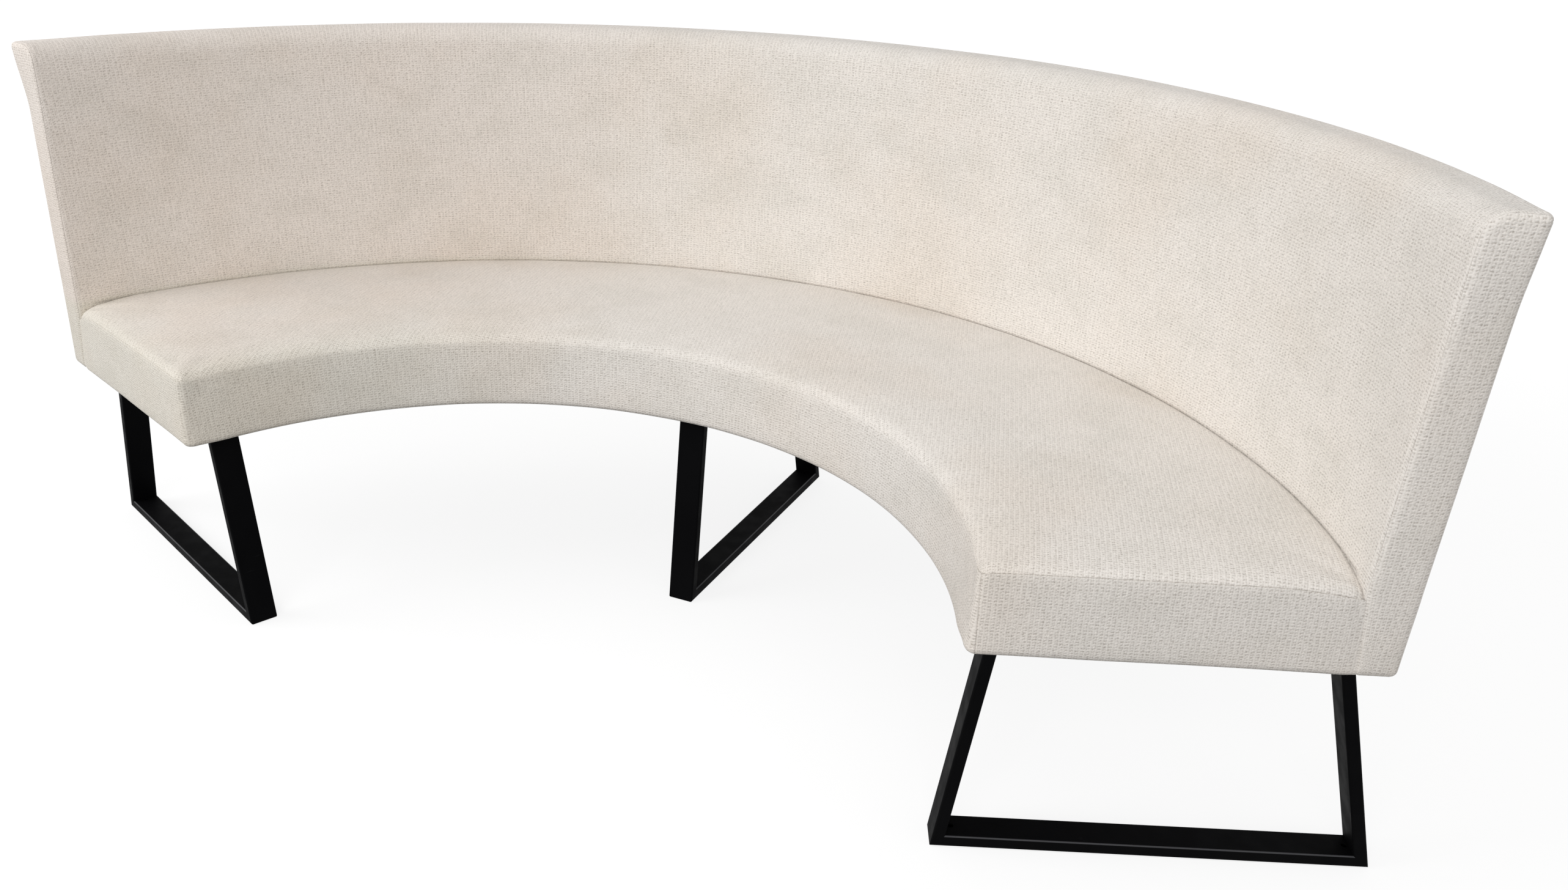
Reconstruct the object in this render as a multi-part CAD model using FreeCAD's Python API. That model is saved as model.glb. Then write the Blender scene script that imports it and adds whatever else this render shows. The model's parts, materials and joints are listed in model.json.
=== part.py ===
import FreeCAD, Part
import math
import os

# Curved banquette bench. It is built about the centre of its arc, with the middle of the
# arc towards +Y and the open side towards -Y, and is moved to its own frame at the end.
# All lengths are in millimetres, all angles in degrees.

# Seat
seat_height = 480.0
seat_thickness = 128.0
seat_front_radius = 677.0
seat_front_lean = 6.4
seat_depth = 473.0
seat_crown = 6.0
seat_crown_share = 0.7
seat_edge_radius = 12.0
seat_seam_drop = 10.0
bottom_edge_radius = 10.0

# Back
back_thickness = 70.0
back_height = 926.0
back_lean = 3.2
back_front_roll_radius = 32.0
back_rear_roll_radius = 11.0

# Ends, cut by planes that lean in towards the top
end_angle = 68.3
end_offset = 59.0
end_lean = 2.7
end_edge_radius = 7.0
end_seam_inset = 4.0
sweep_spare_angle = 4.0

# Upholstery
cover_thickness = 2.0
hem_width = 28.0
back_hem_width = 16.0
padding_thickness = 6.0
back_foam_thickness = 25.0
back_top_foam_thickness = 30.0
fit_gap = 0.3

# Plywood
board_thickness = 18.0
deck_thickness = 9.0
skin_thickness = 5.0
seat_rib_height = 36.0
rib_pitch_angle = 12.2
rib_pairs = 5

# Steel leg frames
leg_angle = 67.0
leg_width = 48.0
leg_depth = 18.0
leg_wall = 2.0
leg_corner_radius = 3.0
leg_front_inset = 41.0
leg_front_splay = 46.0
leg_rear_inset = 33.0
leg_rear_splay = 98.0
top_plate_thickness = 5.0
plate_rear_margin = 10.0
plate_corner_radius = 6.0

# Plates that join the back to the seat
joining_plate_width = 40.0
joining_plate_length = 130.0

# Bolts, tee nuts and glides
bolt_diameter = 6.0
bolt_length = 30.0
bolt_head_across_flats = 10.0
bolt_head_height = 4.0
bolt_hole_gap = 0.3
front_bolt_inset = 60.0
rear_bolt_inset = 55.0
back_bolt_rear_margin = 24.0
tee_barrel_diameter = 8.0
tee_barrel_length = 10.0
tee_flange_diameter = 17.0
tee_flange_thickness = 1.2
tee_bore_gap = 0.1
glide_diameter = 22.0
glide_height = 2.0
glide_stem_diameter = 8.0
glide_stem_length = 6.0
glide_inset = 30.0

# Working values
overrun = 20.0
touch_tolerance = 0.01

seat_underside = seat_height - seat_thickness
back_face_radius = seat_front_radius + seat_depth
lean_rate = math.tan(math.radians(back_lean))
front_lean_rate = math.tan(math.radians(seat_front_lean))
end_lean_rate = math.tan(math.radians(end_lean))
padding_inset = cover_thickness + fit_gap
frame_inset = padding_inset + padding_thickness + fit_gap
board_bottom = seat_underside + cover_thickness
board_top = board_bottom + board_thickness
deck_bottom = board_top + seat_rib_height
deck_top = deck_bottom + deck_thickness
seam_height = seat_height - seat_seam_drop
front_skin_offset = padding_inset + back_foam_thickness + fit_gap
back_frame_front = front_skin_offset + skin_thickness + fit_gap
rear_skin_offset = back_thickness - frame_inset - skin_thickness
back_frame_rear = rear_skin_offset - fit_gap
back_frame_top = back_height - padding_inset - back_top_foam_thickness
leg_top = seat_underside - top_plate_thickness
cut_reach = 2 * back_face_radius
sweep_angle = end_angle + math.degrees(math.asin(end_offset / seat_front_radius)) + sweep_spare_angle

origin = FreeCAD.Vector()
up = FreeCAD.Vector(0, 0, 1)


# Radius of the back's front face at a height
def face_radius(height):
    return back_face_radius + (height - seat_height) * lean_rate


# Radius of the seat's front face at a height
def front_radius(height):
    return seat_front_radius + (height - seat_underside) * front_lean_rate


# The seat's plywood box stands upright between the leaning front and the leaning back
rail_front_radius = front_radius(deck_top) + frame_inset
rail_rear_radius = rail_front_radius + board_thickness
flap_front_radius = face_radius(seat_underside) - fit_gap - cover_thickness
box_rear_radius = flap_front_radius - fit_gap
rear_rail_front_radius = box_rear_radius - board_thickness
middle_radius = (seat_front_radius + back_face_radius) / 2

# Radii of the leg frames' outer corners, at the floor and at the seat's underside
front_top_radius = seat_front_radius + leg_front_inset
front_foot_radius = front_top_radius - leg_front_splay
rear_top_radius = face_radius(seat_underside) + back_thickness - leg_rear_inset
rear_foot_radius = rear_top_radius + leg_rear_splay


# Closed outline in the plane of radius and height, from corners of radius, height and rounding.
# Hidden forms have two flats in place of each round.
def outline(corners, hidden=False):
    points = [FreeCAD.Vector(corner[0], 0, corner[1]) for corner in corners]
    starts = []
    ends = []
    middles = []
    for place, corner in enumerate(corners):
        here = points[place]
        before = (points[place - 1] - here).normalize()
        after = (points[(place + 1) % len(points)] - here).normalize()
        half = before.getAngle(after) / 2
        reach = corner[2] / math.tan(half)
        inward = (before + after).normalize()
        starts.append(here + before * reach)
        ends.append(here + after * reach)
        middles.append(here + inward * (corner[2] / math.sin(half) - corner[2]))
    edges = []
    for place, corner in enumerate(corners):
        if corner[2] > 0 and hidden:
            edges.append(Part.LineSegment(starts[place], middles[place]).toShape())
            edges.append(Part.LineSegment(middles[place], ends[place]).toShape())
        elif corner[2] > 0:
            edges.append(Part.Arc(starts[place], middles[place], ends[place]).toShape())
        following = (place + 1) % len(corners)
        edges.append(Part.LineSegment(ends[place], starts[following]).toShape())
    return Part.Wire(edges)


# Solid swept round the arc's centre, past both ends of the bench
def sweep(corners, hidden=False):
    face = Part.Face(outline(corners, hidden))
    face.rotate(origin, up, 90 - sweep_angle)
    return face.revolve(origin, up, 2 * sweep_angle)


# Flat-ended ring between two radii and two heights
def ring(inner, outer, low, high):
    return sweep([(inner, low, 0), (inner, high, 0), (outer, high, 0), (outer, low, 0)])


# Ring that follows the back's lean, between two distances behind its front face
def leaning_ring(front, rear, low, high):
    return sweep([
        (face_radius(low) + front, low, 0),
        (face_radius(high) + front, high, 0),
        (face_radius(high) + rear, high, 0),
        (face_radius(low) + rear, low, 0),
    ])


# Outward normal of an end plane; side is 1 at the right and -1 at the left
def end_normal(side):
    turn = math.radians(end_angle)
    return FreeCAD.Vector(side * math.cos(turn), -math.sin(turn), end_lean_rate).normalize()


# A point on an end plane, moved in by an inset
def end_point(side, inset):
    turn = math.radians(end_angle)
    across = FreeCAD.Vector(side * math.cos(turn), -math.sin(turn), 0)
    return across * end_offset + up * seat_underside - end_normal(side) * inset


# Block that fills everything beyond an end plane
def beyond_end(side, inset):
    normal = end_normal(side)
    turn = math.radians(end_angle)
    along = FreeCAD.Vector(side * math.sin(turn), math.cos(turn), 0)
    block = Part.makeBox(cut_reach, 2 * cut_reach, 2 * cut_reach,
                         FreeCAD.Vector(0, -cut_reach, -cut_reach))
    block.Placement = FreeCAD.Placement(
        end_point(side, inset), FreeCAD.Rotation(normal, along, normal.cross(along), "XYZ"))
    return block


def cut_ends(shape, inset):
    return shape.cut([beyond_end(1, inset), beyond_end(-1, inset)])


# Slab of a shape between two insets from one end plane
def end_slab(shape, side, outer_inset, inner_inset):
    return shape.cut(beyond_end(side, outer_inset)).common(beyond_end(side, inner_inset))


# Edges of a shape that lie on an end plane, apart from those that the test leaves out
def end_rim(shape, side, inset, left_out):
    point = end_point(side, inset)
    normal = end_normal(side)
    rim = []
    for edge in shape.Edges:
        middle = edge.CenterOfMass
        places = [vertex.Point for vertex in edge.Vertexes] + [middle]
        on_plane = all(abs((place - point).dot(normal)) < touch_tolerance for place in places)
        if on_plane and not left_out(middle):
            rim.append(edge)
    return rim


def round_ends(shape, inset, left_out):
    rim = end_rim(shape, 1, inset, left_out) + end_rim(shape, -1, inset, left_out)
    return shape.makeFillet(end_edge_radius - inset, rim)


# Whole seat, drawn in by an inset on every side
def seat_form(inset):
    top = seat_height - inset
    low = seat_underside + inset
    rear_top = face_radius(top) - fit_gap - inset
    rear_low = face_radius(low) - fit_gap - inset
    front_top = front_radius(top) + inset
    half_depth = (rear_top - front_top) / 2
    crown_turn = math.atan(seat_crown / half_depth)
    crown_radius = seat_crown_share * half_depth / math.tan(crown_turn)
    form = sweep([
        (front_radius(low) + inset, low, bottom_edge_radius - inset),
        (front_top, top, seat_edge_radius - inset),
        (front_top + half_depth, top + seat_crown, crown_radius),
        (rear_top, top, 0),
        (rear_low, low, 0),
    ], inset > 0)

    def on_rear(place):
        radius = math.hypot(place.x, place.y)
        return radius > face_radius(place.z) - fit_gap - inset - touch_tolerance

    return round_ends(cut_ends(form, inset), inset, on_rear)


# Whole back, drawn in by an inset on every side
def back_form(inset):
    top = back_height - inset
    low = seat_underside + inset
    form = sweep([
        (face_radius(low) + inset, low, bottom_edge_radius - inset),
        (face_radius(top) + inset, top, back_front_roll_radius - inset),
        (face_radius(top) + back_thickness - inset, top, back_rear_roll_radius - inset),
        (face_radius(low) + back_thickness - inset, low, bottom_edge_radius - inset),
    ], inset > 0)
    return round_ends(cut_ends(form, inset), inset, lambda place: False)


# Turns a shape about the arc's centre, to an angle from the middle of the arc
def turned(shape, angle):
    shape.rotate(origin, up, 90 - angle)
    return shape


def upright_cylinder(radius, height, place, low):
    return Part.makeCylinder(radius, height, FreeCAD.Vector(place, 0, low))


# Angles of the plywood ribs from the middle of the arc
def rib_angles():
    angles = []
    for pair in range(rib_pairs):
        angles += [(pair + 0.5) * rib_pitch_angle, -(pair + 0.5) * rib_pitch_angle]
    return angles


leg_angles = {"left": -leg_angle, "middle": 0.0, "right": leg_angle}

# The joining plates sit midway between two ribs
plate_angles = [-3 * rib_pitch_angle, 3 * rib_pitch_angle]

# Radii of the bolts: two rows in the seat, one in the bottom rail of the back
front_bolt_radius = front_top_radius + front_bolt_inset
rear_bolt_radius = box_rear_radius - rear_bolt_inset
back_bolt_radius = face_radius(seat_underside) + back_thickness - back_bolt_rear_margin


def bolt_places():
    places = []
    for angle in leg_angles.values():
        places += [(angle, front_bolt_radius), (angle, rear_bolt_radius), (angle, back_bolt_radius)]
    for angle in plate_angles:
        places += [(angle, rear_bolt_radius), (angle, back_bolt_radius)]
    return places


# Cylinders on the bolts' axes, as one list of solids
def on_bolts(radius, low, height):
    return [turned(upright_cylinder(radius, height, place, low), angle) for angle, place in bolt_places()]


def bolt_holes():
    return on_bolts(bolt_diameter / 2 + bolt_hole_gap, leg_top - overrun, bolt_length + 2 * overrun)


def tee_holes():
    radius = tee_barrel_diameter / 2 + bolt_hole_gap
    return on_bolts(radius, board_top - tee_barrel_length - bolt_hole_gap, tee_barrel_length + overrun)


# Fabric cover of the seat, in panels that meet at the sewn seams
def make_seat_covers():
    shell = seat_form(0).cut(seat_form(cover_thickness))
    low = seat_underside - overrun
    opening = ring(seat_front_radius + hem_width, flap_front_radius, low, board_bottom)
    shell = shell.cut(cut_ends(opening, cover_thickness))
    front = seat_front_radius - overrun
    below_seam = ring(front, back_face_radius + overrun, low, seam_height)
    band_zone = cut_ends(ring(front, middle_radius, low, seam_height), end_seam_inset)
    left_zone = below_seam.common(beyond_end(-1, end_seam_inset))
    right_zone = below_seam.common(beyond_end(1, end_seam_inset))
    parts["seat_top_cover"] = shell.cut([band_zone, left_zone, right_zone])
    parts["seat_front_band"] = shell.common(band_zone)
    parts["seat_end_band_left"] = shell.common(left_zone)
    parts["seat_end_band_right"] = shell.common(right_zone)


# Foam block on the deck, and thin padding round the plywood box below it
def make_seat_padding():
    form = seat_form(padding_inset)
    front = seat_front_radius - overrun
    rear = back_face_radius + overrun
    below_deck = ring(front, rear, seat_underside - overrun, deck_top)
    parts["seat_foam"] = form.cut(below_deck)
    wrap = form.common(below_deck)
    strip = ring(front, rail_front_radius - fit_gap, seat_underside - overrun, deck_top + overrun)
    parts["seat_front_padding"] = cut_ends(wrap.common(strip), frame_inset)
    for side, name in ((-1, "left"), (1, "right")):
        parts["seat_end_padding_" + name] = wrap.common(beyond_end(side, frame_inset - fit_gap))


# Plywood box of the seat
def make_seat_box():
    board = ring(rail_front_radius, box_rear_radius, board_bottom, board_top)
    parts["seat_base_board"] = cut_ends(board, frame_inset).cut(bolt_holes() + tee_holes())
    deck = ring(rail_front_radius, box_rear_radius, deck_bottom, deck_top)
    parts["seat_deck"] = cut_ends(deck, frame_inset)
    front_rail = ring(rail_front_radius, rail_rear_radius, board_top, deck_bottom)
    parts["seat_front_rail"] = cut_ends(front_rail, frame_inset)
    rear_rail = ring(rear_rail_front_radius, box_rear_radius, board_top, deck_bottom)
    parts["seat_rear_rail"] = cut_ends(rear_rail, frame_inset)
    rib_front = rail_rear_radius + fit_gap
    rib_rear = rear_rail_front_radius - fit_gap
    ribs = []
    for angle in rib_angles():
        rib = Part.makeBox(rib_rear - rib_front, board_thickness, seat_rib_height,
                           FreeCAD.Vector(rib_front, -board_thickness / 2, board_top))
        ribs.append(turned(rib, angle))
    parts["seat_ribs"] = Part.makeCompound(ribs)
    between = ring(rib_front, rib_rear, board_top, deck_bottom)
    for side, name in ((-1, "left"), (1, "right")):
        parts["seat_end_rib_" + name] = end_slab(between, side, frame_inset, frame_inset + board_thickness)


def make_seat_underlining():
    felt = ring(seat_front_radius + hem_width + fit_gap, flap_front_radius - fit_gap,
                seat_underside, board_bottom)
    parts["seat_underlining"] = cut_ends(felt, cover_thickness + fit_gap).cut(bolt_holes())


# Fabric cover of the back; the front panel rolls over the top to the rear seam
def make_back_covers():
    shell = back_form(0).cut(back_form(cover_thickness))
    low = seat_underside - overrun
    bottom_radius = face_radius(seat_underside)
    opening = ring(bottom_radius + back_hem_width, bottom_radius + back_thickness - back_hem_width,
                   low, board_bottom)
    shell = shell.cut(cut_ends(opening, cover_thickness))
    rear_zone = leaning_ring(back_thickness / 2, back_thickness + overrun,
                             low, back_height - back_rear_roll_radius)
    rear_zone = cut_ends(rear_zone, end_seam_inset)
    left_zone = beyond_end(-1, end_seam_inset)
    right_zone = beyond_end(1, end_seam_inset)
    parts["back_front_cover"] = shell.cut([rear_zone, left_zone, right_zone])
    parts["back_rear_cover"] = shell.common(rear_zone)
    parts["back_end_cover_left"] = shell.common(left_zone)
    parts["back_end_cover_right"] = shell.common(right_zone)


# Foam on the front and over the top of the back, thin padding on its rear and ends
def make_back_padding():
    form = back_form(padding_inset)
    low = seat_underside - overrun
    behind_foam = leaning_ring(padding_inset + back_foam_thickness, back_thickness + overrun,
                               low, back_frame_top)
    parts["back_foam"] = cut_ends(form.cut(behind_foam), frame_inset)
    rear_sheet = leaning_ring(back_thickness - padding_inset - padding_thickness,
                              back_thickness + overrun, low, back_frame_top)
    parts["back_rear_padding"] = cut_ends(form.common(rear_sheet), frame_inset)
    for side, name in ((-1, "left"), (1, "right")):
        parts["back_end_padding_" + name] = form.common(beyond_end(side, frame_inset - fit_gap))


# Plywood frame of the back between two bent skins
def make_back_frame():
    front_skin = leaning_ring(front_skin_offset, front_skin_offset + skin_thickness,
                              board_bottom, back_frame_top)
    parts["back_front_skin"] = cut_ends(front_skin, frame_inset)
    rear_skin = leaning_ring(rear_skin_offset, rear_skin_offset + skin_thickness,
                             board_bottom, back_frame_top)
    parts["back_rear_skin"] = cut_ends(rear_skin, frame_inset)
    bottom_rail = leaning_ring(back_frame_front, back_frame_rear, board_bottom, board_top)
    parts["back_bottom_rail"] = cut_ends(bottom_rail, frame_inset).cut(bolt_holes() + tee_holes())
    rail_bottom = back_frame_top - board_thickness
    top_rail = leaning_ring(back_frame_front, back_frame_rear, rail_bottom, back_frame_top)
    parts["back_top_rail"] = cut_ends(top_rail, frame_inset)
    rib_outline = outline([
        (face_radius(board_top) + back_frame_front, board_top, 0),
        (face_radius(rail_bottom) + back_frame_front, rail_bottom, 0),
        (face_radius(rail_bottom) + back_frame_rear - fit_gap, rail_bottom, 0),
        (face_radius(board_top) + back_frame_rear - fit_gap, board_top, 0),
    ])
    rib_outline.translate(FreeCAD.Vector(0, -board_thickness / 2, 0))
    rib = Part.Face(rib_outline).extrude(FreeCAD.Vector(0, board_thickness, 0))
    parts["back_ribs"] = Part.makeCompound([turned(rib.copy(), angle) for angle in rib_angles()])
    between = leaning_ring(back_frame_front, back_frame_rear, board_top, rail_bottom)
    for side, name in ((-1, "left"), (1, "right")):
        parts["back_end_post_" + name] = end_slab(between, side, frame_inset, frame_inset + board_thickness)


def make_back_underlining():
    bottom_radius = face_radius(seat_underside)
    felt = ring(bottom_radius + back_hem_width + fit_gap,
                bottom_radius + back_thickness - back_hem_width - fit_gap,
                seat_underside, board_bottom)
    parts["back_underlining"] = cut_ends(felt, cover_thickness + fit_gap).cut(bolt_holes())


# Corners of a leg frame's outline, moved in by a distance: front foot, front top, rear top, rear foot
def leg_corners(distance):
    front_slope = (front_top_radius - front_foot_radius) / seat_underside
    rear_slope = (rear_foot_radius - rear_top_radius) / seat_underside
    foot = glide_height + distance

    def front(height):
        return front_foot_radius + front_slope * height + distance * math.hypot(1, front_slope)

    def rear(height):
        return rear_foot_radius - rear_slope * height - distance * math.hypot(1, rear_slope)

    return [(front(foot), foot, 0), (front(leg_top), leg_top, 0),
            (rear(leg_top), leg_top, 0), (rear(foot), foot, 0)]


def leg_prism(corners, width):
    wire = outline(corners)
    wire.translate(FreeCAD.Vector(0, -width / 2, 0))
    return Part.Face(wire).extrude(FreeCAD.Vector(0, width, 0))


# One tube of a leg frame, between two corners of the outline, mitred where tubes meet
def leg_tube(first, second):
    outer = leg_corners(0)
    inner = leg_corners(leg_depth)
    tube = leg_prism([outer[first], outer[second], inner[second], inner[first]], leg_width)
    long_edges = [edge for edge in tube.Edges
                  if edge.Length > 2 * leg_depth and abs(edge.CenterOfMass.y) > leg_width / 4]
    tube = tube.makeFillet(leg_corner_radius, long_edges)
    hollow_outer = leg_corners(leg_wall)
    hollow_inner = leg_corners(leg_depth - leg_wall)
    hollow = leg_prism([hollow_outer[first], hollow_outer[second],
                        hollow_inner[second], hollow_inner[first]], leg_width - 2 * leg_wall)
    return tube.cut(hollow)


# Flat plate under the seat and back, with its bolt holes, before it is turned to its place
def flat_plate(front, rear, width, bolt_radii):
    plate = Part.makeBox(rear - front, width, top_plate_thickness,
                         FreeCAD.Vector(front, -width / 2, leg_top))
    corners = [edge for edge in plate.Edges if abs(edge.Length - top_plate_thickness) < touch_tolerance]
    plate = plate.makeFillet(plate_corner_radius, corners)
    hole_radius = bolt_diameter / 2 + bolt_hole_gap
    holes = [upright_cylinder(hole_radius, top_plate_thickness + 2 * overrun, place, leg_top - overrun)
             for place in bolt_radii]
    return plate.cut(holes)


def make_legs():
    glide_radii = [front_foot_radius + glide_inset, rear_foot_radius - glide_inset]
    sockets = [upright_cylinder(glide_stem_diameter / 2 + bolt_hole_gap, leg_wall + overrun,
                                place, glide_height - touch_tolerance)
               for place in glide_radii]
    plate_rear = face_radius(seat_underside) + back_thickness - plate_rear_margin
    glides = []
    for name, angle in leg_angles.items():
        label = "leg_" + name
        parts[label + "_front_upright"] = turned(leg_tube(0, 1), angle)
        parts[label + "_rear_upright"] = turned(leg_tube(3, 2), angle)
        parts[label + "_floor_bar"] = turned(leg_tube(0, 3).cut(sockets), angle)
        plate = flat_plate(leg_corners(0)[1][0], plate_rear, leg_width,
                           [front_bolt_radius, rear_bolt_radius, back_bolt_radius])
        parts[label + "_top_plate"] = turned(plate, angle)
        for place in glide_radii:
            pad = upright_cylinder(glide_diameter / 2, glide_height, place, 0)
            stem = upright_cylinder(glide_stem_diameter / 2, glide_stem_length + touch_tolerance,
                                    place, glide_height - touch_tolerance)
            glides.append(turned(pad.fuse(stem), angle))
    parts["floor_glides"] = Part.makeCompound(glides)
    plates = [turned(flat_plate(plate_rear - joining_plate_length, plate_rear, joining_plate_width,
                                [rear_bolt_radius, back_bolt_radius]), angle)
              for angle in plate_angles]
    parts["joining_plates"] = Part.makeCompound(plates)


# Hexagonal prism with its middle on a radius
def hexagon(across_flats, height, place, low):
    reach = across_flats / math.sqrt(3)
    corners = []
    for corner in range(7):
        turn = math.radians(60 * corner)
        corners.append(FreeCAD.Vector(place + reach * math.cos(turn), reach * math.sin(turn), low))
    return Part.Face(Part.makePolygon(corners)).extrude(up * height)


def make_fasteners():
    bolts = []
    nuts = []
    for angle, place in bolt_places():
        head = hexagon(bolt_head_across_flats, bolt_head_height, place, leg_top - bolt_head_height)
        shank = upright_cylinder(bolt_diameter / 2, bolt_length, place, leg_top)
        bolts.append(turned(head.fuse(shank), angle))
        barrel = upright_cylinder(tee_barrel_diameter / 2, tee_barrel_length, place,
                                  board_top - tee_barrel_length)
        flange = upright_cylinder(tee_flange_diameter / 2, tee_flange_thickness, place, board_top)
        bore = upright_cylinder(bolt_diameter / 2 + tee_bore_gap, tee_barrel_length + 2 * overrun,
                                place, board_top - tee_barrel_length - overrun)
        nuts.append(turned(barrel.fuse(flange).cut(bore), angle))
    parts["plate_bolts"] = Part.makeCompound(bolts)
    parts["tee_nuts"] = Part.makeCompound(nuts)


parts = {}
make_seat_covers()
make_seat_padding()
make_seat_box()
make_seat_underlining()
make_back_covers()
make_back_padding()
make_back_frame()
make_back_underlining()
make_legs()
make_fasteners()

# The bench's own frame has its origin on the floor, at the middle of its outline
extent = Part.makeCompound(list(parts.values())).optimalBoundingBox(False, False)
shift = FreeCAD.Vector(-(extent.XMin + extent.XMax) / 2, -(extent.YMin + extent.YMax) / 2, -extent.ZMin)
print("arc centre at y", round(shift.y, 3))
print("size", round(extent.XLength, 2), round(extent.YLength, 2), round(extent.ZLength, 2))

os.makedirs("parts", exist_ok=True)
for name, shape in parts.items():
    shape.translate(shift)
    shape.exportStep(os.path.join("parts", name + ".step"))
    print(name, len(shape.Solids), round(shape.Volume), shape.isValid())
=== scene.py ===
import bpy
import bmesh
import json
import math
from mathutils import Matrix, Vector, noise


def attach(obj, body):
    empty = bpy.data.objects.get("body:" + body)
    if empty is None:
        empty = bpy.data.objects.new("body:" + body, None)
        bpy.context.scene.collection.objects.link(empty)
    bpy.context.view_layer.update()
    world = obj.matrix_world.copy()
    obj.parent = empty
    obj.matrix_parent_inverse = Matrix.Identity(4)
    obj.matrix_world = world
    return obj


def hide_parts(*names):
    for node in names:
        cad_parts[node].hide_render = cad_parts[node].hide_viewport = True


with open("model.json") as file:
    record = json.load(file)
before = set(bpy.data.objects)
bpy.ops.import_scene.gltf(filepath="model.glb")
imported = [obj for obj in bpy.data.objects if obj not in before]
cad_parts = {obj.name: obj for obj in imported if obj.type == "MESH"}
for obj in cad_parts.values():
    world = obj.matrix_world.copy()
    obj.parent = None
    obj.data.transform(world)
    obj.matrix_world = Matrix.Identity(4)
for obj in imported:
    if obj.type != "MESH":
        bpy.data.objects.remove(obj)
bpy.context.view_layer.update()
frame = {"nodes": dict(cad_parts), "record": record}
nodes = frame["nodes"]
scene = bpy.context.scene
print("frame loaded:", len(nodes), "nodes")

# Camera, at the photograph's angle
cameraView = {
    "place": (1.00463, -1.93734, 1.26954),  # metres, in the bench's frame
    "turn": 25.943, "tilt": -27.422, "roll": 0.945,  # degrees
    "lens": 30.713, "shift": (0.0362, 0.0479),
}


def makeCamera(view):
    data = bpy.data.cameras.new("photoCamera")
    data.lens = view["lens"]
    data.sensor_width = 36
    data.shift_x, data.shift_y = view["shift"]
    camera = bpy.data.objects.new("photoCamera", data)
    camera.matrix_world = (
        Matrix.Translation(view["place"])
        @ Matrix.Rotation(math.radians(view["turn"]), 4, "Z")
        @ Matrix.Rotation(math.radians(90 + view["tilt"]), 4, "X")
        @ Matrix.Rotation(math.radians(view["roll"]), 4, "Z"))
    scene.collection.objects.link(camera)
    scene.camera = camera


makeCamera(cameraView)

# The bench's main lines, in metres and degrees
bench = {
    "underside": 0.352, "seatHeight": 0.480, "backHeight": 0.926,
    "frontRadius": 0.677, "frontLean": 6.4,  # seat front, at the underside
    "faceRadius": 1.150, "backLean": 3.2, "backThickness": 0.070,  # back's face, at the seat's height
    "endAngle": 68.3, "endOffset": 0.059, "endLean": 2.7,
}


# The arc's centre lies midway between the side frames, where all front glides are equally far
def findArcCentre():
    spots = {mount["name"]: mount["pos_m"] for mount in frame["record"]["mounts"]}
    middle, side = Vector(spots["floor_middle_front"]), Vector(spots["floor_right_front"])
    return (side.x ** 2 + side.y ** 2 - middle.y ** 2) / (2 * (side.y - middle.y))


arcCentreY = findArcCentre()
print("arc centre at y", round(arcCentreY, 5))


def slope(degrees):
    return math.tan(math.radians(degrees))


def faceRadius(height):
    return bench["faceRadius"] + (height - bench["seatHeight"]) * slope(bench["backLean"])


def frontRadius(height):
    return bench["frontRadius"] + (height - bench["underside"]) * slope(bench["frontLean"])


# Angle from the middle of the arc to the leaning end plane
def endTurn(radius, height):
    offset = bench["endOffset"] - (height - bench["underside"]) * slope(bench["endLean"])
    return math.radians(bench["endAngle"]) + math.asin(offset / radius)


# A straight block's point, bent round the arc; distances from the end plane stay as they are
def bentPoint(along, halfLength, radius, height):
    arcHalf = radius * endTurn(radius, height)
    left = halfLength - abs(along)
    reach = left + (arcHalf / halfLength - 1) * left ** 2 / halfLength
    turn = math.copysign(arcHalf - reach, along) / radius
    return Vector((radius * math.sin(turn), radius * math.cos(turn) + arcCentreY, height))


def makeObject(name, bm):
    mesh = bpy.data.meshes.new(name)
    bm.to_mesh(mesh)
    bm.free()
    for polygon in mesh.polygons:
        polygon.use_smooth = True
    thing = bpy.data.objects.new(name, mesh)
    scene.collection.objects.link(thing)
    return thing


def cutAt(bm, axis, places):
    for place in places:
        bmesh.ops.bisect_plane(bm, geom=bm.verts[:] + bm.edges[:] + bm.faces[:], dist=1e-6,
                               plane_co=axis * place, plane_no=axis)


# Three loops close together, for a seam at a height
def cutSeam(bm, height, half):
    cutAt(bm, Vector((0, 0, 1)), [height - half, height, height + half])


def evenPlaces(start, end, cell):
    count = max(2, round((end - start) / cell))
    return [start + (end - start) * step / count for step in range(1, count)]


# Edges of a block that meet at more than 40 degrees and pass a test on their middle
def sharpEdges(bm, wanted):
    found = []
    for edge in bm.edges:
        middle = (edge.verts[0].co + edge.verts[1].co) / 2
        if len(edge.link_faces) == 2 and edge.calc_face_angle(0) > 0.7 and wanted(middle):
            found.append(edge)
    return found


def roundEdges(bm, edges, radius, segments):
    bmesh.ops.bevel(bm, geom=edges, offset=radius, segments=segments, profile=0.5,
                    affect="EDGES", material=-1, clamp_overlap=True)


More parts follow.
